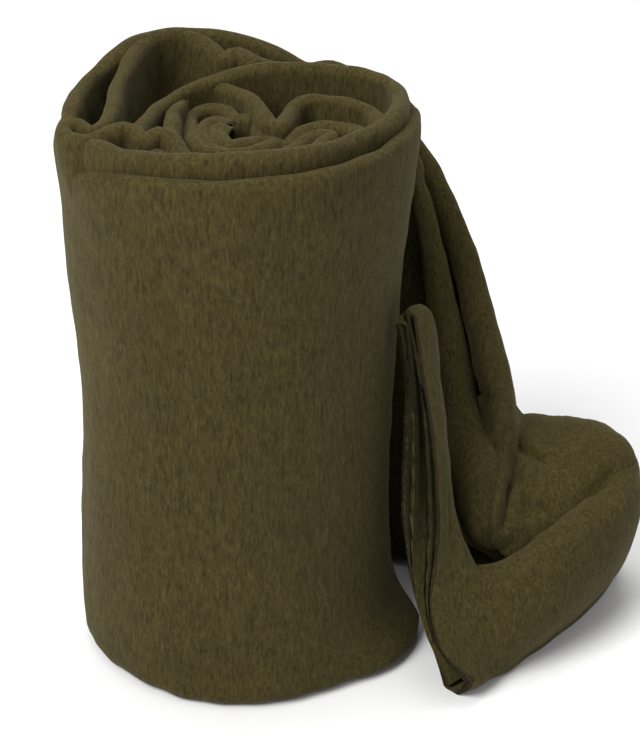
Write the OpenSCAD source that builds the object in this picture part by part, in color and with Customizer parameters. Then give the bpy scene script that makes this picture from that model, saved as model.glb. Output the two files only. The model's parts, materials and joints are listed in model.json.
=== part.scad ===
// Camp blanket: one fleece sheet, folded lengthways in four to make a strip, rolled up and stood
// on end. The last stretch of the strip is left loose: it runs out beside the roll, slumps, turns
// back on itself and ends against the roll's side.
// Millimetres. The origin is the centre of the roll's base on the ground, +Z is up, and the loose
// end lies on the +X side and turns back towards -Y.

/* [Sheet] */
// Length of the flat fleece sheet, which is also the strip's length
sheet_length = 2030; // [1980:10:2080]
// Width of the flat fleece sheet, folded in four across
sheet_width = 1520; // [1480:10:1560]
// Air between neighbouring folds
fold_gap = 2; // [1.6:0.1:2.4]
// How much thicker the hem is than the fold on each face
hem_extra = 0.8; // [0.4:0.1:1.2]

/* [Roll] */
// Outside radius of the roll
roll_r = 113.6; // [112.6:0.2:114.6]
// How much higher the inner fold stands than the outer fold
rim_step = 14; // [8:1:20]
// How far the crumpled core stands below the rim's mean height
core_drop = 12; // [6:1:20]
// Direction from the roll's axis to the line where the loose end leaves it, in degrees
exit_angle = 62; // [60:1:64]
// Part of each turn that keeps its radius before it steps in under the turn outside it
steady_part = 0.7; // [0.6:0.05:0.8]

/* [Loose end] */
// Height of the slumped strip at the turn back
turn_height = 128; // [120:1:136]
// Height of the lip between the turn and the standing end
lip_height = 95; // [85:1:100]
// Height of the standing end, which leans on the roll
end_height = 285; // [270:1:300]
// Height of the slumped cloth's lower edge above the ground
pocket_height = 78; // [70:1:84]

/* [Stitching] */
// Length of one stitch
stitch_length = 4; // [3:0.5:5]
// Distance from one stitch to the next
stitch_pitch = 6; // [5.5:0.5:8]
// Width of the thread, laid flat on the hem
thread_w = 0.9; // [0.6:0.1:1.2]

/* [Hidden] */

fleece_outside = [0.30, 0.27, 0.16];
fleece_inside = [0.25, 0.22, 0.13];
fleece_core = [0.22, 0.20, 0.12];
thread_colour = [0.20, 0.18, 0.10];

curve_steps = 24;
turn_step = 1 / 36;
joint_clearance = 0.5;
seam_gap = 0.4;

strip_height = sheet_width / 4;
outer_fold_top = strip_height - rim_step / 2;
inner_fold_top = strip_height + rim_step / 2;
core_top = strip_height - core_drop;

// Bezier curves in plan that the middle of the loose strip follows, on the ground and along its
// top edge. They start where the strip leaves the roll, and meet at the turn.
turn_x = 256;
turn_y = 5;
front_y = turn_y - seam_gap;
// Distance from the roll's outside to the middle of the strip where the loose end leaves it
exit_inset = 12;
exit_point = (roll_r - exit_inset) * [cos(exit_angle), sin(exit_angle)];
back_foot = [exit_point, [120, 84], [turn_x, 72], [turn_x, turn_y]];
back_top = [exit_point, [105, 76], [turn_x, 50], [turn_x, turn_y]];
front_foot = [[turn_x, front_y], [turn_x, -25], [185, -48], [143, -90]];
front_top = [[turn_x, front_y], [turn_x, -28], [160, -42], [114, -63]];
pocket_line = [[160, -6], [178, -16], [198, -16], [214, -11]];

// The top edge of the loose strip falls away from the rim in this outline, as [x, height]
back_fall = [
    [exit_point.x, outer_fold_top], [98, 360], [125, 312], [151, 262], [174, 205], [190, 165],
    [turn_x, turn_height]
];
// and then rises to the standing end in this one, as [part of the way to the end, height]
front_rise = [
    [0, turn_height], [0.35, lip_height], [0.65, lip_height], [0.9, 0.93 * end_height], [1, end_height]
];

tail_length = path_length(curve(back_foot)) + path_length(curve(front_foot));
// The rest of the strip fills the roll, which gives the distance from one turn to the next
strip_pitch = PI * roll_r * roll_r / (sheet_length - tail_length);
fold_t = strip_pitch / 2 - fold_gap;
strip_t = 2 * fold_t + fold_gap;
full_turns = 3;
// The roll's outermost turn starts this part of a turn in, clear of the strip's end on the hinge
first_turn = (strip_t / 2 + 2) / (2 * PI * roll_r);

// Parts of the way along the front curve: the stretch after the turn, then the hinge's gap, then
// the standing end, then its hem
turn_end = 0.67;
flap_start = 0.71;
hem_start = 0.92;

function bezier(p, u) =
    pow(1 - u, 3) * p[0] + 3 * u * pow(1 - u, 2) * p[1] + 3 * u * u * (1 - u) * p[2] + u * u * u * p[3];
function steps(from, to, count = curve_steps) = [for (i = [0:count]) from + (to - from) * i / count];
function curve(p) = [for (u = steps(0, 1)) bezier(p, u)];
function path_length(path, i = 1) =
    i >= len(path) ? 0 : norm(path[i] - path[i - 1]) + path_length(path, i + 1);
function reverse(list) = [for (i = [len(list) - 1:-1:0]) list[i]];
function heading(p, u) =
    let (d = pow(1 - u, 2) * (p[1] - p[0]) + 2 * u * (1 - u) * (p[2] - p[1]) + u * u * (p[3] - p[2]))
    d / norm(d);
function left_of(d) = [-d.y, d.x];
function beside(p, offset, u) = bezier(p, u) + offset * left_of(heading(p, u));
function at_height(p, z) = [p.x, p.y, z];

// Radius of the roll's outside after so many turns inwards: each turn keeps its radius for its
// steady part, then steps in by one pitch.
function turn_inset(t) =
    floor(t) + max(0, (t - floor(t) - steady_part) / (1 - steady_part));
function spiral_point(t, inset) =
    (roll_r - inset - strip_pitch * turn_inset(t)) * [cos(exit_angle + 360 * t), sin(exit_angle + 360 * t)];
function spiral(inset, from, to) =
    [for (i = [0:ceil((to - from) / turn_step)]) spiral_point(min(from + i * turn_step, to), inset)];

// A closed solid through rings of equally many points, with flat ends
module loft(rings) {
    sides = len(rings[0]);
    last = (len(rings) - 1) * sides;
    polyhedron(
        points = [for (ring = rings) each ring],
        faces = [
            for (k = [1:sides - 2]) each [[0, k, k + 1], [last, last + k + 1, last + k]],
            for (r = [0:sides:last - sides], k = [0:sides - 1])
                let (next = (k + 1) % sides)
                each [[r + k, r + sides + k, r + sides + next], [r + k, r + sides + next, r + next]]
        ]
    );
}

// Height of the strip's top edge, by the part of the way along the back or the front curve
function back_height(u) = lookup(bezier(back_top, u).x, back_fall);
function front_height(u) = lookup(u, front_rise);

// A stretch of cloth on the back curves, between two offsets from their middle
module back_stretch(near, far) {
    loft([
        for (u = steps(0, 1))
            wall_ring(back_foot, back_top, back_height(u), near, far, u)
    ]);
}

// and one on the front curves, from one part of the way along them to another
module front_stretch(from, to, near, far) {
    loft([
        for (u = steps(from, to))
            wall_ring(front_foot, front_top, front_height(u), near, far, u)
    ]);
}

function wall_ring(foot, top, height, near, far, u) = [
    at_height(beside(foot, near, u), 0),
    at_height(beside(foot, far, u), 0),
    at_height(beside(top, far, u), height),
    at_height(beside(top, near, u), height)
];

module turns_layer(inset, height) {
    linear_extrude(height)
        polygon(concat(
            spiral(inset, first_turn, full_turns),
            reverse(spiral(inset + fold_t, first_turn, full_turns))
        ));
}

module outer_fold_turns() {
    color(fleece_outside) turns_layer(0, outer_fold_top);
}

module inner_fold_turns() {
    color(fleece_inside) turns_layer(fold_t + fold_gap, inner_fold_top);
}

module core_turns() {
    color(fleece_core)
        linear_extrude(core_top)
            polygon(spiral(0, full_turns + turn_step, full_turns + 1));
}

module tail_outer_fold() {
    color(fleece_outside) back_stretch(strip_t / 2, fold_gap / 2);
}

module tail_inner_fold() {
    color(fleece_inside) back_stretch(-fold_gap / 2, -strip_t / 2);
}

// The upper part of the loose strip, which has fallen over into the pocket of the turn
module slumped_fold() {
    slump_start = 0.58;
    slump_end = 0.88;
    slump_steps = 9;
    color(fleece_inside)
        loft([
            for (u = steps(slump_start, slump_end, slump_steps))
                let (
                    crest = beside(back_top, -strip_t / 2 - joint_clearance, u),
                    pocket = bezier(pocket_line, (u - slump_start) / (slump_end - slump_start))
                ) [
                    at_height(crest, back_height(u) - strip_t),
                    at_height(pocket, pocket_height),
                    at_height(pocket, pocket_height + strip_t),
                    at_height(crest, back_height(u))
                ]
        ]);
}

module turn_outer_fold() {
    color(fleece_outside) front_stretch(0, turn_end, strip_t / 2, fold_gap / 2);
}

module turn_inner_fold() {
    color(fleece_inside) front_stretch(0, turn_end, -fold_gap / 2, -strip_t / 2);
}

module end_outer_fold() {
    color(fleece_outside) front_stretch(flap_start, hem_start, strip_t / 2, fold_gap / 2);
}

module end_inner_fold() {
    color(fleece_inside) front_stretch(flap_start, hem_start, -fold_gap / 2, -strip_t / 2);
}

// The hems start clear of the folds that they finish
hem_first = hem_start + seam_gap / path_length(curve(front_top));

module end_outer_hem() {
    color(fleece_outside)
        front_stretch(hem_first, 1, strip_t / 2 + hem_extra, fold_gap / 2 - hem_extra / 2);
}

module end_inner_hem() {
    color(fleece_inside)
        front_stretch(hem_first, 1, -fold_gap / 2 + hem_extra / 2, -strip_t / 2 - hem_extra);
}

// One row of stitches down the middle of a hem's face, at an offset from the foot and top curves
module stitch_row(offset, side) {
    u = (hem_first + 1) / 2;
    margin = 8;
    height = front_height(u);
    // The thread lies this far off the hem, so that it doesn't cut into the bent face
    clear = 0.1;
    // Turned with the side of the hem, so that every stitch is the right way out
    along = -side * thread_w / 2 * heading(front_foot, u);
    function face_point(z, out, shift) =
        let (
            foot = beside(front_foot, offset + side * out, u),
            top = beside(front_top, offset + side * out, u)
        ) at_height(foot + (top - foot) * z / height + shift, z);
    for (z = [margin:stitch_pitch:height - margin - stitch_length])
        loft([
            for (end = [z, z + stitch_length]) [
                face_point(end, clear, along),
                face_point(end, clear, -along),
                face_point(end, clear + thread_w / 2, -along),
                face_point(end, clear + thread_w / 2, along)
            ]
        ]);
}

module end_hem_stitches() {
    color(thread_colour) {
        stitch_row(strip_t / 2 + hem_extra, 1);
        stitch_row(-strip_t / 2 - hem_extra, -1);
    }
}

outer_fold_turns();
inner_fold_turns();
core_turns();
tail_outer_fold();
tail_inner_fold();
slumped_fold();
turn_outer_fold();
turn_inner_fold();
end_outer_fold();
end_inner_fold();
end_outer_hem();
end_inner_hem();
end_hem_stitches();
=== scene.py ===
"""Camp blanket: one fleece sheet, folded lengthways in four, rolled up and stood on end, with its
last stretch left loose beside the roll.

The sheet is one grid of points. Its columns run along the strip, from the short end of the loose
tail to the core of the roll. Its rows run across the sheet: up the side panel of the outer fold,
over the outer fold's top edge, down the outer half panel, round the bottom fold, up the inner
half panel, over the inner fold's top edge and down the last side panel.
Lengths in the guide lists are millimetres. Everything else is in metres unless it says otherwise.
"""
import json
import math

import bpy
import numpy as np
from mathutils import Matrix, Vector

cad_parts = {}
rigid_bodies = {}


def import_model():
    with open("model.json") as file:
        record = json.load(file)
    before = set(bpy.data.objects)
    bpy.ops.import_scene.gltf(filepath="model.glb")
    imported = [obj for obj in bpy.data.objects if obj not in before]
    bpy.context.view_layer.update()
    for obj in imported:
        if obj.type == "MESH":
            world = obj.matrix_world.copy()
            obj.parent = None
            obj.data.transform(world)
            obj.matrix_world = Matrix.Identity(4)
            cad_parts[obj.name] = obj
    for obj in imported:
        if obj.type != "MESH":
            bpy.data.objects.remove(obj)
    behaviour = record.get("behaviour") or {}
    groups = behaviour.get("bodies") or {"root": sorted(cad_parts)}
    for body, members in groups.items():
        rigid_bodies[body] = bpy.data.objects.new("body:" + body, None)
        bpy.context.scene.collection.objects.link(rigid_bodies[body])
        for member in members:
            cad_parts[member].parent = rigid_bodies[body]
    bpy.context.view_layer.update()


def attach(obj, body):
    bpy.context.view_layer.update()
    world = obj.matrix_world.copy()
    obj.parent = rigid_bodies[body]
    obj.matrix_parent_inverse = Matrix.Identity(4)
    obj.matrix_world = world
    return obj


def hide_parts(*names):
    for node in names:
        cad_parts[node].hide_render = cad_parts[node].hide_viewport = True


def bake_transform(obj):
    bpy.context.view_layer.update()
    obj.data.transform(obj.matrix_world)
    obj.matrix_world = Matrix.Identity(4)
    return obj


for startup_object in list(bpy.data.objects):
    bpy.data.objects.remove(startup_object)

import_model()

MM = 0.001

# ---------------------------------------------------------------- sizes
ROLL_RADIUS = 0.1136
EXIT_ANGLE = 62.0          # degrees, from the roll's axis to the line where the tail leaves it
PITCH = 0.025              # from one four-ply turn to the next
STEADY_PART = 0.8          # part of each turn before it steps in
ROLL_TURNS = 3.35
PLY = 0.0040               # thickness of one ply of fleece
HEM_PLY = 0.0050           # thickness of the turned hem
HEM_DEPTH = 0.014
HEM_EASE = 0.004           # over which the hem thins to the plain cloth
STITCH_INSET = 0.010       # from the short end to the hem's row of stitches
STITCH_LENGTH = 0.0042
STITCH_PITCH = 0.006
THREAD_RADIUS = 0.00045
THREAD_SIDES = 6
THREAD_TAPER = (0.35, 0.9, 1.0, 0.9, 0.35)   # a stitch's thickness from one end to the other
FOLD_HALF = 0.0027         # from the middle of a fold to the middle of either of its plies
FOLD_SPREAD = 0.0012       # how much further apart the plies lie at the top edge of a fold
OUTER_FOLD_INSET = 0.0052  # from the roll's outside to the middle of the outer fold
INNER_FOLD_INSET = 0.0172
BOTTOM_LIFT = 0.011        # height at which the plies turn in to the bottom fold
FLOOR_GAP = 0.0003         # between the bottom fold and the floor, before its wrinkles
CORE_RADIUS = 0.008        # the roll winds in no further than this
COLUMN_STEP = 0.005        # from one column of points to the next along the strip
ROLL_SAMPLES = 6000        # points that the roll's length is measured with
LOOSE_SAMPLES = 4000       # and the loose stretch's
SECTION_SAMPLES = 200      # and each of its sections'
SECTION_POINTS = 120       # points kept up each section
EXIT_COLUMNS = 6           # columns of the roll that are evened out with the loose stretch
EVEN_ROUNDS = 3

# ---------------------------------------------------------------- guides
# Top edge of the outer fold round the roll: (turns inwards from the tail, x, y, height)
OUTER_RIM = [
    (0.00, 50, 94, 374), (0.08, -2, 108, 373), (0.20, -75, 78, 374), (0.28, -102, 38, 370),
    (0.35, -108, -14, 367), (0.42, -93, -56, 364), (0.47, -68, -84, 373), (0.53, -32, -103, 377),
    (0.58, 3, -108, 378), (0.65, 48, -97, 379), (0.72, 83, -69, 380), (0.79, 104, -30, 381),
    (0.85, 107, 8, 380), (0.90, 96, 38, 376), (0.95, 70, 62, 376), (1.00, 42, 72, 380),
    (1.04, 22, 68, 384), (1.07, 8, 72, 387), (1.09, -3, 79, 390), (1.11, -11, 73, 387),
    (1.135, -19, 83, 391), (1.165, -31, 92, 396), (1.20, -44, 94, 398), (1.24, -58, 87, 398),
    (1.275, -67, 68, 396), (1.31, -72, 43, 393), (1.34, -76, 17, 391), (1.37, -76, -12, 389),
    (1.395, -81, -36, 386), (1.408, -87, -42, 386), (1.42, -94, -36, 388), (1.432, -101, -38, 388),
    (1.444, -102, -47, 387), (1.456, -96, -55, 386), (1.47, -86, -58, 386), (1.485, -76, -54, 388),
    (1.50, -66, -49, 391), (1.515, -57, -53, 389), (1.525, -53, -61, 386), (1.54, -46, -55, 390),
    (1.555, -38, -58, 388), (1.57, -29, -74, 383), (1.60, -6, -86, 380), (1.67, 40, -78, 380),
    (1.75, 76, -46, 380), (1.81, 89, -14, 380), (1.85, 79, 8, 380), (1.885, 62, 20, 381),
    (1.92, 45, 24, 380), (1.95, 34, 11, 378), (1.972, 26, -13, 376), (1.995, 17, 0, 378),
    (2.03, 9, 22, 380), (2.08, -3, 35, 381), (2.13, -15, 41, 381), (2.18, -28, 36, 380),
    (2.25, -37, 20, 379), (2.34, -40, -5, 378), (2.43, -38, -34, 377), (2.50, -29, -60, 377),
    (2.58, 0, -67, 377), (2.66, 32, -55, 375), (2.73, 53, -32, 373), (2.79, 57, -17, 372),
    (2.84, 45, -17, 371), (2.89, 32, -33, 369), (2.95, 14, -45, 367), (3.02, -6, -40, 368),
    (3.10, -19, -22, 369), (3.18, -22, 0, 371), (3.25, -13, 12, 371), (3.35, -4, 2, 370),
]
# Top edge of the inner fold
INNER_RIM = [
    (0.00, 43, 86, 376), (0.04, 24, 92, 386), (0.08, -2, 97, 393), (0.12, -27, 98, 397),
    (0.17, -57, 87, 399), (0.21, -75, 69, 397), (0.25, -88, 47, 392), (0.29, -98, 24, 388),
    (0.33, -102, -3, 386), (0.37, -101, -26, 382), (0.405, -92, -48, 381), (0.43, -83, -62, 385),
    (0.47, -65, -79, 386), (0.51, -42, -91, 389), (0.58, 2, -98, 391), (0.65, 42, -88, 391),
    (0.72, 76, -62, 391), (0.77, 94, -36, 391), (0.82, 101, -5, 391), (0.87, 96, 22, 391),
    (0.91, 80, 42, 390), (0.95, 56, 52, 389), (1.00, 32, 55, 389), (1.06, 8, 53, 388),
    (1.12, -14, 44, 386), (1.18, -31, 33, 384), (1.25, -46, 14, 382), (1.32, -55, -8, 381),
    (1.38, -60, -30, 380), (1.45, -58, -48, 380), (1.52, -42, -68, 379), (1.58, -10, -76, 379),
    (1.67, 38, -66, 378), (1.77, 68, -38, 375), (1.83, 75, -15, 373), (1.88, 60, -3, 372),
    (1.93, 40, -5, 370), (1.97, 30, -24, 367), (2.02, 20, -14, 369), (2.08, 11, 8, 372),
    (2.15, 0, 11, 372), (2.22, -8, 24, 373), (2.30, -20, 29, 372), (2.37, -30, 20, 371),
    (2.44, -31, 0, 370), (2.52, -23, -30, 370), (2.60, -8, -42, 369), (2.68, 10, -38, 370),
    (2.76, 22, -26, 369), (2.84, 20, -14, 367), (2.92, 8, -24, 368), (3.00, -2, -30, 369),
    (3.10, -10, -18, 370), (3.20, -12, -4, 371), (3.35, -4, -8, 370),
]
# The roll's radius as a share of its full radius, and how far it leans towards +X: by height
ROLL_PROFILE = [
    (0, 1.01, 2), (18, 0.975, -3), (68, 0.935, -6), (124, 0.915, -6), (178, 0.915, -4),
    (230, 0.925, -3), (279, 0.945, -3), (322, 0.975, -1), (362, 1.0, 0), (400, 1.0, 0),
]
# Heights between which the spiral of the body of the roll gives way to the rim's own curves, on a
# column whose rim is at RIM_LEVEL
RIM_STARTS = 0.235
RIM_FULL = 0.362
RIM_LEVEL = 0.376
# How far the rims of the inner turns are crumpled, how broad the bumps are, and the turns inwards
# between which it sets in
CRUMPLE = 0.0011
CRUMPLE_SIZE = 0.03
CRUMPLE_SEEDS = (11, 12, 13)
CRUMPLE_STARTS = 1.2
CRUMPLE_FULL = 1.9

# Sections of the loose stretch, from the roll to the short end. Each runs from the ground to the
# top edge through the middle of the four plies, and ends with how the folds lie:
# (outer fold's offset at the top edge, its half width there, inner fold's offset, its half width,
# how far the inner fold stays below the outer or, below zero, the outer below the inner, either
# fold's offset away from the top edge, and how far below the top edge it reaches that offset)
LOOSE_SECTIONS = [
    ([(86, 80, 11), (87, 89, 130), (90, 89, 250), (94, 84, 342)], (6.2, 4.2, 6.2, 4.2, 0, 6, 36)),
    ([(115, 67, 11), (118, 88, 120), (121, 88, 220), (119, 78, 305)], (7, 5, 6.5, 4.5, 0, 6, 36)),
    ([(142, 66, 11), (146, 87, 100), (146, 84, 180), (136, 62, 256)], (10, 6.8, 9.5, 6.2, 0, 6, 36)),
    ([(165, 70, 11), (171, 87, 75), (170, 80, 132), (161, 62, 170), (150, 44, 198)],
     (12.5, 8.8, 13, 9, 0, 6, 36)),
    ([(186, 66, 11), (193, 82, 55), (193, 77, 98), (184, 60, 120), (172, 42, 136), (160, 24, 152)],
     (13.5, 9.2, 14, 9.6, 0, 6, 36)),
    ([(205, 68, 11), (213, 80, 50), (214, 75, 92), (205, 58, 116), (190, 36, 118), (172, 14, 117),
      (156, -1, 121)], (8, 6, 1, 15, -16, 6, 36)),
    ([(223, 72, 11), (231, 79, 48), (233, 70, 90), (225, 52, 118), (208, 26, 115), (186, 1, 104),
      (168, -12, 101), (156, -20, 99)], (7, 5, 1, 10, -14, 6, 36)),
    ([(240, 76, 11), (248, 72, 46), (250, 61, 90), (243, 42, 119), (224, 16, 113), (202, -7, 95),
      (180, -22, 84), (163, -32, 79)], (6, 4, 2, 4.5, -6, 6, 36)),
    ([(254, 64, 11), (260, 55, 46), (263, 43, 90), (256, 26, 116), (238, 5, 101), (223, -7, 85),
      (207, -15, 72), (189, -20, 63)], (6, 3.6, 6, 3.6, 0, 6, 36)),
    ([(257, 48, 11), (263, 38, 45), (265, 24, 84), (259, 9, 105), (248, 2, 90), (235, -3, 56),
      (222, -8, 22), (206, -12, 12)], (6, 3.6, 6, 3.6, 0, 6, 36)),
    ([(249, 29, 11), (259, 18, 44), (262, 6, 80), (256, -4, 102), (246, -6, 86), (234, -7, 50),
      (222, -11, 20), (204, -15, 12)], (6, 3.6, 6, 3.6, 0, 6, 36)),
    ([(232, 3, 11), (245, -8, 43), (248, -15, 75), (240, -17, 99), (230, -17, 82), (220, -18, 46),
      (208, -19, 20), (190, -22, 12)], (6, 3.6, 6, 3.6, 0, 6, 36)),
    ([(208, -27, 11), (221, -36, 40), (223, -39, 66), (214, -35, 86), (205, -31, 66),
      (196, -28, 40), (184, -20, 36), (168, -14, 40)], (6, 3.6, 6, 3.6, 0, 6, 36)),
    ([(183, -54, 11), (192, -61, 34), (192, -61, 55), (183, -53, 70), (174, -46, 58),
      (165, -38, 48), (154, -26, 48), (142, -14, 60)], (6, 3.6, 6, 3.6, 0, 6, 36)),
    ([(168, -70, 11), (172, -72, 34), (168, -67, 54), (159, -60, 68), (150, -52, 60),
      (142, -42, 54), (134, -32, 62), (128, -24, 84)], (6, 3.6, 6, 3.6, 0, 6, 36)),
    ([(163, -76, 11), (162, -76, 34), (156, -70, 56), (147, -62, 72), (140, -54, 76),
      (135, -45, 82), (130, -37, 100), (125, -31, 132)], (6, 3.6, 6, 3.6, 0, 6, 36)),
    ([(158, -82, 11), (150, -81, 36), (142, -74, 58), (134, -66, 80), (128, -57, 108),
      (123, -47, 155), (119, -39, 205), (114, -32, 246)], (5.5, 4, 5.5, 4, 4, 7, 36)),
    ([(143, -96, 11), (126, -87, 37), (118, -78, 66), (117, -68, 108), (116, -60, 150),
      (113, -53, 202), (108, -48, 240), (105, -46, 258)], (3.4, 3.2, 3.4, 3.2, 7, 13.5, 140)),
]
# Before them come sections this many millimetres along the strip inside the roll. They are as high
# as the rim is there.
BEFORE_EXIT = (40, 20, 0)
EXIT_RIM = 0.374
ROLLED_FOLDS = (6, 3.9, 6, 3.9, 0, 6, 36)
# Where each of those three lies on a scale that counts LOOSE_SECTIONS from 1
BEFORE_EXIT_KEYS = (-0.4, -0.2, 0)
FLAP_SECTION = 17          # the standing end starts at this place on that scale
# How far below a fold's top edge its plies come back together
FOLD_DEPTH = 0.024

# Creases and ridges of the slumped cloth: (from, to, push, half width)
LOOSE_CREASES = [
    # The gap between the two upper folds
    ((120, 74, 300), (144, 64, 215), (-2, 6, -1), 3),
    ((144, 64, 215), (163, 24, 163), (-2, 6, -1), 3),
    # The pinch at the low end of the gap between the two upper folds, and the valley below it
    ((164, 18, 163), (163, 10, 146), (-1, 12, -8), 5),
    ((190, 12, 128), (178, -14, 112), (0, 6, -8), 5),
    ((178, -14, 112), (173, -30, 94), (0, 4, -6), 4),
    # The ridge between the steep cloth and the slumped cloth
    ((184, 16, 142), (174, -8, 121), (-1, -3, 3), 4),
    ((174, -8, 121), (165, -33, 93), (1, -3, 3), 4),
    # The forked wrinkle beside that ridge
    ((188, 7, 118), (198, -12, 101), (0, -3, 4), 3.5),
    ((188, 19, 126), (203, 13, 118), (0, 4, -6), 4),
    ((185, -4, 108), (192, -24, 97), (0, 4, -6), 3.5),
    # The crease above the lip
    ((172, -36, 78), (209, -36, 91), (0, 6, -3), 3),
    ((209, -36, 91), (236, -8, 104), (0, 6, -4), 3),
    ((236, -8, 104), (249, 3, 112), (0, 5, -4), 3),
]
# The outer turn's lower edge is kicked out beside the standing end
ROLL_CREASES = [
    ((92, -66, 0), (112, -26, 6), (14, -4, 0), 28),
]
# Wrinkles all over the cloth: (height of the bumps, seed, how broad they are), in metres
SWELLS = ((0.0009, 3, 0.09), (0.00035, 5, 0.022))


# ---------------------------------------------------------------- curves
def hermite(keys, values, at):
    """Smooth curve through values at keys, with the slope at each from its two neighbours."""
    keys = np.asarray(keys, float)
    values = np.asarray(values, float)
    at = np.clip(np.asarray(at, float), keys[0], keys[-1])
    steps = np.diff(keys)
    shape = (-1,) + (1,) * (values.ndim - 1)
    slopes = np.diff(values, axis=0) / steps.reshape(shape)
    before = np.concatenate([slopes[:1], slopes])
    after = np.concatenate([slopes, slopes[-1:]])
    step_before = np.concatenate([steps[:1], steps]).reshape(shape)
    step_after = np.concatenate([steps, steps[-1:]]).reshape(shape)
    tangents = (before * step_after + after * step_before) / (step_before + step_after)
    i = np.clip(np.searchsorted(keys, at, side="right") - 1, 0, len(keys) - 2)
    h = steps[i].reshape(shape)
    u = ((at - keys[i]) / steps[i]).reshape(shape)
    u2 = u * u
    u3 = u2 * u
    return (
        (2 * u3 - 3 * u2 + 1) * values[i]
        + (u3 - 2 * u2 + u) * h * tangents[i]
        + (3 * u2 - 2 * u3) * values[i + 1]
        + (u3 - u2) * h * tangents[i + 1]
    )


def smoothstep(low, high, x):
    u = np.clip((x - low) / (high - low), 0, 1)
    return u * u * (3 - 2 * u)


def length_along(points):
    return np.concatenate([[0], np.cumsum(np.linalg.norm(np.diff(points, axis=0), axis=1))])


def unit(v):
    return v / np.maximum(np.linalg.norm(v, axis=-1, keepdims=True), 1e-9)


# ---------------------------------------------------------------- rows across a fold
# Shares of the way from the bottom of a ply to its top edge, with the rows closer near the rim
BODY_ROWS = 30
RIM_ROWS = 26
RIM_SHARE = 0.30
HIDDEN_ROW_STEP = 3        # the side panels are hidden, so every third row is enough
HIDDEN_RIM_ROWS = 6        # but for these rows at their top edge
TOP_ARC = np.radians([30, 60, 90, 120, 150])
BOTTOM_ARC = np.radians([-22, -45, -68, -90, -112, -135, -158])
rows = np.concatenate([
    np.linspace(0, 1 - RIM_SHARE, BODY_ROWS, endpoint=False),
    np.linspace(1 - RIM_SHARE, 1, RIM_ROWS),
])


# ---------------------------------------------------------------- wrinkles
def waves(points, seed, size, count=7):
    """A smooth random field between about -1 and 1, whose bumps are about size across."""
    rng = np.random.default_rng(seed)
    total = np.zeros(points.shape[:-1])
    for _ in range(count):
        direction = rng.normal(size=3)
        direction *= 2 * math.pi / size * rng.uniform(0.6, 1.3) / np.linalg.norm(direction)
        total += np.sin(points @ direction + rng.uniform(0, 2 * math.pi))
    return total / math.sqrt(count)


# ---------------------------------------------------------------- the roll
def step_in(turns):
    """How many pitches the roll has stepped in after so many turns inwards."""
    whole = np.floor(turns)
    return whole + smoothstep(STEADY_PART, 1.0, turns - whole)


def roll_point(turns, inset):
    """Points in plan on the roll's spiral, that far inside its outside."""
    angle = np.radians(EXIT_ANGLE + 360 * turns)
    radius = ROLL_RADIUS - inset - PITCH * step_in(turns)
    radius = np.maximum(radius, CORE_RADIUS)
    return np.stack([radius * np.cos(angle), radius * np.sin(angle)], axis=-1)


def leaned(plan, heights):
    """Points in plan at those heights, drawn in at the waist and leant with the whole roll."""
    profile = np.array(ROLL_PROFILE)
    waist = hermite(profile[:, 0] * MM, profile[:, 1:], heights.ravel())
    waist = waist.reshape(*heights.shape, 2)
    moved = plan * waist[..., :1]
    moved[..., 0] += waist[..., 1] * MM
    return moved


def rim_point(rim, turns):
    rim = np.array(rim, float)
    return hermite(rim[:, 0], rim[:, 1:] * MM, turns)


def turn_columns():
    """Turns at even steps along whichever is longer there: the roll's body or one of its rims."""
    fine = np.linspace(0, ROLL_TURNS, ROLL_SAMPLES)
    steps = [
        np.linalg.norm(np.diff(points, axis=0), axis=1)
        for points in (
            roll_point(fine, OUTER_FOLD_INSET),
            rim_point(OUTER_RIM, fine)[:, :2],
            rim_point(INNER_RIM, fine)[:, :2],
        )
    ]
    travelled = np.concatenate([[0], np.cumsum(np.max(steps, axis=0))])
    count = int(travelled[-1] / COLUMN_STEP)
    return np.interp(np.linspace(0, travelled[-1], count), travelled, fine)


def roll_fold(rim, inset, turns):
    """Middle surface of one fold in the roll, as points by column and row."""
    top = rim_point(rim, turns)
    crumple = smoothstep(CRUMPLE_STARTS, CRUMPLE_FULL, turns)[:, None] * CRUMPLE
    top[:, 2] -= FOLD_HALF + FOLD_SPREAD + PLY / 2
    top += crumple * np.stack([waves(top, seed, CRUMPLE_SIZE) for seed in CRUMPLE_SEEDS], axis=1)
    base = roll_point(turns, inset)
    heights = BOTTOM_LIFT + rows[None, :] * (top[:, 2:] - BOTTOM_LIFT)
    share = smoothstep(RIM_STARTS, RIM_FULL, heights + RIM_LEVEL - top[:, 2:])[..., None]
    plan = base[:, None, :] * (1 - share) + top[:, None, :2] * share
    return np.concatenate([leaned(plan, heights), heights[..., None]], axis=2)


# ---------------------------------------------------------------- the loose stretch
SECTION_SHARES = np.linspace(0, 1, SECTION_POINTS)


def loose_sections():
    """Evenly spaced points up each section, and how the folds lie at its top edge."""
    sections = []
    folds = []
    for before_exit in BEFORE_EXIT:
        turns = before_exit * MM / (ROLL_RADIUS - INNER_FOLD_INSET) / (2 * math.pi)
        middle = (roll_point(turns, OUTER_FOLD_INSET) + roll_point(turns, INNER_FOLD_INSET)) / 2
        foot = np.array([*middle, BOTTOM_LIFT])
        top = np.array([*middle, EXIT_RIM])
        sections.append(foot + SECTION_SHARES[:, None] * (top - foot))
        folds.append(ROLLED_FOLDS)
    for points, fold in LOOSE_SECTIONS:
        points = np.array(points, float) * MM
        corners = length_along(points)
        path = hermite(corners, points, np.linspace(0, corners[-1], SECTION_SAMPLES))
        along = length_along(path)
        sections.append(np.stack([
            np.interp(SECTION_SHARES * along[-1], along, path[:, axis]) for axis in range(3)
        ], axis=1))
        folds.append(fold)
    return np.array(sections), np.array(folds) * MM


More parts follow.
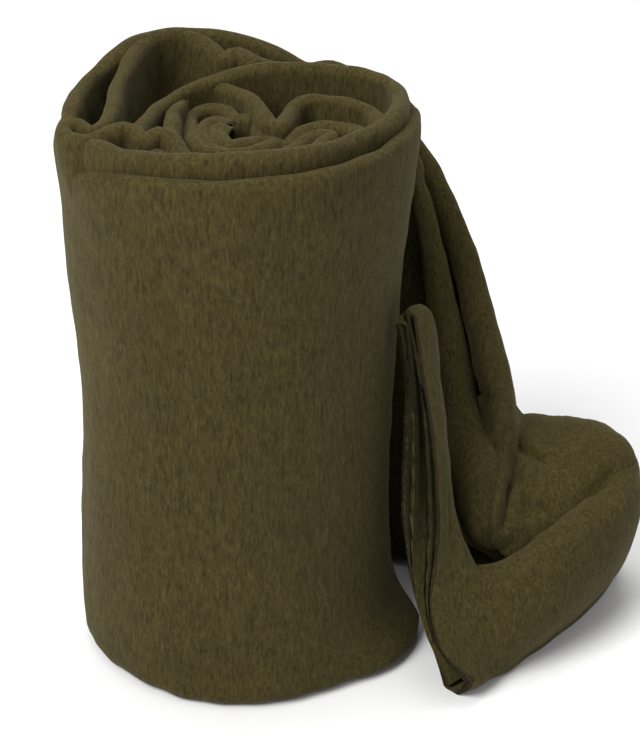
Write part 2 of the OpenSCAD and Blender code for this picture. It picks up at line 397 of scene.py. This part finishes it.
def loose_stretch(sections, folds):
    """Columns from the short end to the roll: their keys, middle surface and how the folds lie."""
    key = np.concatenate([BEFORE_EXIT_KEYS, 1 + np.arange(len(LOOSE_SECTIONS))])
    fine = np.linspace(0, key[-1], LOOSE_SAMPLES)
    surface = hermite(key, sections, fine)
    steps = np.linalg.norm(np.diff(surface, axis=0), axis=2).max(axis=1)
    travelled = np.concatenate([[0], np.cumsum(steps)])
    count = int(travelled[-1] / COLUMN_STEP)
    at = np.interp(np.linspace(travelled[-1], 0, count), travelled, fine)
    return at, hermite(key, sections, at), hermite(key, folds, at)


def at_shares(surface, shares):
    """Each column's points at those shares of the way up it."""
    position = shares * (surface.shape[1] - 1)
    low = np.clip(position.astype(int), 0, surface.shape[1] - 2)
    part = (position - low)[..., None]
    column = np.arange(len(surface))[:, None]
    return surface[column, low] * (1 - part) + surface[column, low + 1] * part


def normals_of(grid):
    """Unit normals of a grid of points, square to its columns and rows."""
    along = np.gradient(grid, axis=0)
    up = np.gradient(grid, axis=1)
    return unit(np.cross(along, up))


def evened(grid, rounds, first, last):
    """The grid with its columns from first to last evened out, and the others as they were."""
    grid = grid.copy()
    for _ in range(rounds):
        around = (grid[first - 1:last - 1] + grid[first + 1:last + 1]) / 2
        grid[first:last] = grid[first:last] * 0.5 + around * 0.5
    return grid


# ---------------------------------------------------------------- the sheet
sections, section_folds = loose_sections()
loose_at, loose_surface, loose_folds = loose_stretch(sections, section_folds)
# The last column lies on the exit line, where the roll's own first column is
loose_at = loose_at[:-1]
loose_surface = loose_surface[:-1]
loose_folds = loose_folds[:-1]
exit_column = len(loose_at)
turns = turn_columns()


def loose_fold(offset, side, drop):
    """Middle surface of one fold of the loose stretch."""
    height = np.linalg.norm(np.diff(loose_surface, axis=1), axis=2).sum(axis=1)
    shares = rows[None, :] * (1 - drop / height)[:, None]
    middle = at_shares(loose_surface, shares)
    near_top = np.exp(-(((1 - rows)[None, :] * height[:, None] / loose_folds[:, 6, None]) ** 2))
    apart = loose_folds[:, 5, None] * (1 - near_top) + offset[:, None] * near_top
    normals = at_shares(normals_of(loose_surface), shares)
    return middle + side * apart[..., None] * unit(normals)


roll_outer = roll_fold(OUTER_RIM, OUTER_FOLD_INSET, turns)
roll_inner = roll_fold(INNER_RIM, INNER_FOLD_INSET, turns)
inner_drop = np.maximum(loose_folds[:, 4], 0)
outer_drop = np.maximum(-loose_folds[:, 4], 0)
outer = np.concatenate([loose_fold(loose_folds[:, 0], 1, outer_drop), roll_outer])
inner = np.concatenate([loose_fold(loose_folds[:, 2], -1, inner_drop), roll_inner])
outer = evened(outer, EVEN_ROUNDS, 1, exit_column + EXIT_COLUMNS)
inner = evened(inner, EVEN_ROUNDS, 1, exit_column + EXIT_COLUMNS)

column_count = len(outer)
# Distance of each column from the short end along the strip's foot, and how far it is in the hem
strip_distance = length_along((outer[:, 0] + inner[:, 0]) / 2)
in_hem = 1 - smoothstep(HEM_DEPTH, HEM_DEPTH + HEM_EASE, strip_distance)


def fold_rows(middle, normals, half_widths, side, rows_used):
    """One ply of a fold: its middle surface moved to one side of the fold's middle."""
    return (middle + side * half_widths[:, :, None] * normals)[:, rows_used]


def arc_rows(centre, across, up, half_width, depth, angles):
    """A ply turning over: a half ellipse from one side of a fold to the other."""
    return np.stack([
        centre
        + np.cos(angle) * half_width[:, None] * across
        + np.sin(angle) * depth[:, None] * up
        for angle in angles
    ], axis=1)


def fold_widths(middle, loose_rims):
    """Half the distance between a fold's plies, by column and row."""
    rims = np.full(len(middle), FOLD_HALF + FOLD_SPREAD)
    rims[:exit_column] = loose_rims
    height = np.linalg.norm(np.diff(middle, axis=1), axis=2).sum(axis=1)
    near_top = np.exp(-(((1 - rows)[None, :] * height[:, None] / FOLD_DEPTH) ** 2))
    return FOLD_HALF + (rims - FOLD_HALF)[:, None] * near_top


def sheet_grid():
    """The whole sheet's middle surface, as points by column and row across the sheet."""
    outer_normals = normals_of(outer)
    inner_normals = normals_of(inner)
    outer_widths = fold_widths(outer, loose_folds[:, 1])
    inner_widths = fold_widths(inner, loose_folds[:, 3])
    every_row = np.arange(len(rows))
    hidden_rows = np.unique(np.concatenate([
        every_row[::HIDDEN_ROW_STEP],
        every_row[-HIDDEN_RIM_ROWS:],
    ]))

    def top_turn(middle, normals, widths):
        up = unit(middle[:, -1] - middle[:, -2])
        return arc_rows(middle[:, -1], normals[:, -1], up, widths[:, -1], widths[:, -1], TOP_ARC)

    bottom_outer = outer[:, 0] + outer_widths[:, :1] * outer_normals[:, 0]
    bottom_inner = inner[:, 0] - inner_widths[:, :1] * inner_normals[:, 0]
    bottom_middle = (bottom_outer + bottom_inner) / 2
    bottom_half = np.linalg.norm(bottom_outer - bottom_inner, axis=1) / 2
    bottom_turn = arc_rows(
        bottom_middle,
        unit(bottom_outer - bottom_inner),
        np.broadcast_to(np.array([0, 0, 1.0]), bottom_middle.shape),
        bottom_half,
        np.full(column_count, BOTTOM_LIFT - PLY / 2 - FLOOR_GAP),
        BOTTOM_ARC,
    )
    return np.concatenate([
        fold_rows(outer, outer_normals, outer_widths, -1, hidden_rows),
        top_turn(outer, outer_normals, outer_widths)[:, ::-1],
        fold_rows(outer, outer_normals, outer_widths, 1, every_row[::-1]),
        bottom_turn,
        fold_rows(inner, inner_normals, inner_widths, -1, every_row),
        top_turn(inner, inner_normals, inner_widths)[:, ::-1],
        fold_rows(inner, inner_normals, inner_widths, 1, hidden_rows[::-1]),
    ], axis=1)


def creased(points, creases):
    """The points pushed by every crease near them."""
    moved = points.copy()
    for start, end, push, half_width in creases:
        start = np.array(start) * MM
        line = np.array(end) * MM - start
        share = np.clip((points - start) @ line / (line @ line), 0, 1)
        distance = np.linalg.norm(points - start - share[..., None] * line, axis=-1)
        weight = np.exp(-((distance / (half_width * MM)) ** 2))
        moved += weight[..., None] * np.array(push) * MM
    return moved


grid = sheet_grid()
grid[:exit_column] = creased(grid[:exit_column], LOOSE_CREASES)
grid[exit_column:] = creased(grid[exit_column:], ROLL_CREASES)
row_count = grid.shape[1]
swell = sum(height * waves(grid, seed, size) for height, seed, size in SWELLS)
grid = grid + normals_of(grid) * swell[..., None]
sheet_normals = normals_of(grid)
thickness = PLY + (HEM_PLY - PLY) * in_hem[:, None] * np.ones((1, row_count))


# ---------------------------------------------------------------- meshes
def nearest(values, value):
    return int(np.argmin(np.abs(values - value)))


def closed_piece(name, first, last):
    """The sheet's columns from first to last as one closed mesh, as thick as the cloth."""
    part = grid[first:last + 1]
    normal = sheet_normals[first:last + 1]
    half = thickness[first:last + 1, :, None] / 2
    columns, across = part.shape[:2]
    points = np.stack([part + normal * half, part - normal * half]).reshape(-1, 3)
    point_normals = np.stack([normal, -normal]).reshape(-1, 3)
    index = np.arange(columns * across).reshape(columns, across)
    under = index + columns * across

    def quads(a, b, c, d):
        return np.stack([a.ravel(), b.ravel(), c.ravel(), d.ravel()], axis=1)

    faces = np.concatenate([
        quads(index[:-1, :-1], index[1:, :-1], index[1:, 1:], index[:-1, 1:]),
        quads(under[:-1, :-1], under[:-1, 1:], under[1:, 1:], under[1:, :-1]),
        quads(index[:-1, 0], under[:-1, 0], under[1:, 0], index[1:, 0]),
        quads(index[:-1, -1], index[1:, -1], under[1:, -1], under[:-1, -1]),
        quads(index[0, :-1], index[0, 1:], under[0, 1:], under[0, :-1]),
        quads(index[-1, :-1], under[-1, :-1], under[-1, 1:], index[-1, 1:]),
    ])
    mesh = bpy.data.meshes.new(name)
    mesh.vertices.add(len(points))
    mesh.vertices.foreach_set("co", points.astype(np.float32).ravel())
    mesh.loops.add(faces.size)
    mesh.loops.foreach_set("vertex_index", faces.astype(np.int32).ravel())
    mesh.polygons.add(len(faces))
    mesh.polygons.foreach_set("loop_start", np.arange(0, faces.size, 4, dtype=np.int32))
    mesh.polygons.foreach_set("use_smooth", np.ones(len(faces), dtype=bool))
    mesh.update(calc_edges=True)
    mesh.validate()
    mesh.normals_split_custom_set_from_vertices(point_normals.tolist())
    piece = bpy.data.objects.new(name, mesh)
    bpy.context.scene.collection.objects.link(piece)
    return piece


flap_column = nearest(loose_at, FLAP_SECTION)
flap = closed_piece("standing_end", 0, flap_column)
loose = closed_piece("loose_stretch", flap_column, exit_column)
roll = closed_piece("rolled_stretch", exit_column, column_count - 1)


def hem_stitches():
    """A row of thread stitches along the hem's outer side, across the whole width of the sheet."""
    column = nearest(strip_distance, STITCH_INSET)
    line = grid[column] + sheet_normals[column] * (thickness[column, 0] / 2)
    forward = unit(grid[column + 1] - grid[column - 1])
    along = length_along(line)
    points = []
    faces = []
    for start in np.arange(STITCH_PITCH, along[-1] - STITCH_PITCH, STITCH_PITCH):
        stations = start + STITCH_LENGTH * np.linspace(0, 1, len(THREAD_TAPER))
        centres = np.stack([np.interp(stations, along, line[:, axis]) for axis in range(3)], axis=1)
        near = nearest(along, start)
        out = sheet_normals[column, near]
        side = forward[near]
        rings = []
        for centre, size in zip(centres, THREAD_TAPER):
            rings.append(len(points))
            for corner in range(THREAD_SIDES):
                angle = 2 * math.pi * corner / THREAD_SIDES
                offset = math.cos(angle) * side + math.sin(angle) * out
                points.append(centre + THREAD_RADIUS * size * offset)
        for ring, following in zip(rings, rings[1:]):
            for corner in range(THREAD_SIDES):
                beyond = (corner + 1) % THREAD_SIDES
                faces.append((ring + corner, ring + beyond, following + beyond, following + corner))
        faces.append(tuple(rings[0] + corner for corner in reversed(range(THREAD_SIDES))))
        faces.append(tuple(rings[-1] + corner for corner in range(THREAD_SIDES)))
    mesh = bpy.data.meshes.new("hem_thread")
    mesh.from_pydata([tuple(point) for point in points], [], faces)
    mesh.polygons.foreach_set("use_smooth", [True] * len(faces))
    stitches = bpy.data.objects.new("hem_thread", mesh)
    bpy.context.scene.collection.objects.link(stitches)
    return stitches


stitches = hem_stitches()


# ---------------------------------------------------------------- materials
def plain_material(name, colour, roughness):
    material = bpy.data.materials.new(name)
    material.use_nodes = True
    shader = material.node_tree.nodes["Principled BSDF"]
    shader.inputs["Base Color"].default_value = (*colour, 1)
    shader.inputs["Roughness"].default_value = roughness
    return material


def fleece_material():
    material = bpy.data.materials.new("olive_fleece")
    material.use_nodes = True
    tree = material.node_tree
    nodes = tree.nodes
    links = tree.links
    shader = nodes["Principled BSDF"]
    shader.inputs["Roughness"].default_value = 1.0
    shader.inputs["Specular IOR Level"].default_value = 0.15
    shader.inputs["Sheen Weight"].default_value = 0.12
    shader.inputs["Sheen Roughness"].default_value = 0.5
    shader.inputs["Sheen Tint"].default_value = (0.55, 0.48, 0.27, 1.0)
    place = nodes.new("ShaderNodeTexCoord")

    # Nap brushed up and down the cloth: noise drawn out along the height
    stretch = nodes.new("ShaderNodeMapping")
    stretch.inputs["Scale"].default_value = (1.0, 1.0, 0.28)
    links.new(place.outputs["Object"], stretch.inputs["Vector"])
    streaks = nodes.new("ShaderNodeTexNoise")
    streaks.inputs["Scale"].default_value = 620
    streaks.inputs["Detail"].default_value = 5
    streaks.inputs["Roughness"].default_value = 0.62
    links.new(stretch.outputs["Vector"], streaks.inputs["Vector"])

    # Matted tufts a few millimetres across
    tufts = nodes.new("ShaderNodeTexNoise")
    tufts.inputs["Scale"].default_value = 300
    tufts.inputs["Detail"].default_value = 6
    tufts.inputs["Roughness"].default_value = 0.7
    links.new(stretch.outputs["Vector"], tufts.inputs["Vector"])

    # Broad patches where the nap lies a different way
    patches = nodes.new("ShaderNodeTexNoise")
    patches.inputs["Scale"].default_value = 16
    patches.inputs["Detail"].default_value = 4
    links.new(place.outputs["Object"], patches.inputs["Vector"])

    grain = nodes.new("ShaderNodeMix")
    grain.data_type = "FLOAT"
    grain.inputs["Factor"].default_value = 0.4
    links.new(streaks.outputs["Fac"], grain.inputs["A"])
    links.new(tufts.outputs["Fac"], grain.inputs["B"])

    shades = nodes.new("ShaderNodeValToRGB")
    ramp = shades.color_ramp
    ramp.elements[0].position = 0.36
    ramp.elements[0].color = (0.020, 0.0157, 0.0046, 1)
    ramp.elements[1].position = 0.66
    ramp.elements[1].color = (0.069, 0.0545, 0.0158, 1)
    links.new(grain.outputs["Result"], shades.inputs["Fac"])

    patch_shades = nodes.new("ShaderNodeValToRGB")
    patch_shades.color_ramp.elements[0].position = 0.35
    patch_shades.color_ramp.elements[0].color = (0.93, 0.93, 0.93, 1)
    patch_shades.color_ramp.elements[1].position = 0.65
    patch_shades.color_ramp.elements[1].color = (1.05, 1.04, 1.02, 1)
    links.new(patches.outputs["Fac"], patch_shades.inputs["Fac"])
    tint = nodes.new("ShaderNodeMix")
    tint.data_type = "RGBA"
    tint.blend_type = "MULTIPLY"
    tint.inputs["Factor"].default_value = 1.0
    links.new(shades.outputs["Color"], tint.inputs["A"])
    links.new(patch_shades.outputs["Color"], tint.inputs["B"])
    links.new(tint.outputs["Result"], shader.inputs["Base Color"])

    bump = nodes.new("ShaderNodeBump")
    bump.inputs["Strength"].default_value = 0.55
    bump.inputs["Distance"].default_value = 0.0016
    links.new(grain.outputs["Result"], bump.inputs["Height"])
    links.new(bump.outputs["Normal"], shader.inputs["Normal"])
    return material


fleece = fleece_material()
for piece in (flap, loose, roll):
    piece.data.materials.append(fleece)
thread_material = plain_material("hem_thread", (0.040, 0.031, 0.012), 0.8)
stitches.data.materials.append(thread_material)


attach(roll, "roll")
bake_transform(loose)
# The seam between the standing end and the loose stretch: its middle, and the direction square to
# the plane it lies in, pointed towards the short end. Both pieces share the seam's column of points,
# so the two stretches are joined.
seam = grid[flap_column]
seam_middle = seam.mean(axis=0)
across_seam = np.linalg.svd(seam - seam_middle)[2][2]
if across_seam @ (grid[0].mean(axis=0) - seam_middle) < 0:
    across_seam = -across_seam
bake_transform(flap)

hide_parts("outer_fold_turns", "inner_fold_turns", "core_turns")
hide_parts("tail_outer_fold", "tail_inner_fold", "slumped_fold",
            "turn_outer_fold", "turn_inner_fold")
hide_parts("end_outer_fold", "end_inner_fold", "end_outer_hem", "end_inner_hem")
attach(stitches, "end_flap")
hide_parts("end_hem_stitches")


# ---------------------------------------------------------------- stage
def floor_and_backdrop():
    """A pale floor that curves up behind the object into a backdrop."""
    half_width = 4.0
    front = -3.0
    back = 2.2
    curve_radius = 1.0
    height = 4.0
    profile = [(front, 0.0), (back - curve_radius, 0.0)]
    for step in range(1, 13):
        angle = math.radians(90 * step / 12)
        profile.append((
            back - curve_radius + curve_radius * math.sin(angle),
            curve_radius - curve_radius * math.cos(angle),
        ))
    profile.append((back, height))
    points = []
    for y, z in profile:
        points.append((-half_width, y, z))
        points.append((half_width, y, z))
    faces = [(2 * i, 2 * i + 1, 2 * i + 3, 2 * i + 2) for i in range(len(profile) - 1)]
    mesh = bpy.data.meshes.new("floor")
    mesh.from_pydata(points, [], faces)
    mesh.polygons.foreach_set("use_smooth", [True] * len(faces))
    floor = bpy.data.objects.new("floor", mesh)
    bpy.context.scene.collection.objects.link(floor)
    mesh.materials.append(plain_material("pale_floor", (0.86, 0.86, 0.86), 0.9))


def look_at(obj, target):
    direction = Vector(target) - obj.location
    obj.rotation_euler = direction.to_track_quat("-Z", "Y").to_euler()


def area_light(name, location, target, size, power):
    data = bpy.data.lights.new(name, "AREA")
    data.shape = "DISK"
    data.size = size
    data.energy = power
    light = bpy.data.objects.new(name, data)
    bpy.context.scene.collection.objects.link(light)
    light.location = location
    look_at(light, target)


floor_and_backdrop()
LIT_POINT = (0.06, 0.0, 0.19)
# Name, place, width and power in watts
LIGHTS = (
    ("key", (-1.2, -1.4, 2.1), 1.5, 74),
    ("fill", (1.9, -1.2, 1.3), 1.4, 4),
    ("top", (0.1, 0.4, 2.4), 1.5, 26),
)
for name, place, size, power in LIGHTS:
    area_light(name, place, LIT_POINT, size, power)
world = bpy.data.worlds.new("studio")
world.use_nodes = True
world.node_tree.nodes["Background"].inputs["Color"].default_value = (1, 1, 1, 1)
world.node_tree.nodes["Background"].inputs["Strength"].default_value = 0.42
bpy.context.scene.world = world
bpy.context.scene.view_settings.view_transform = "Standard"

# ---------------------------------------------------------------- camera
# It looks 29 degrees down along +Y, from 1.4 m
CAMERA_DISTANCE = 1.397
CAMERA_ELEVATION = math.radians(28.77)
LOOK_AT = Vector((0.0512, 0.0, 0.1937))
camera_data = bpy.data.cameras.new("camera")
camera_data.lens = 102.2
camera_data.sensor_width = 36
camera = bpy.data.objects.new("camera", camera_data)
bpy.context.scene.collection.objects.link(camera)
camera.location = LOOK_AT + CAMERA_DISTANCE * Vector(
    (0, -math.cos(CAMERA_ELEVATION), math.sin(CAMERA_ELEVATION))
)
look_at(camera, LOOK_AT)
bpy.context.scene.camera = camera
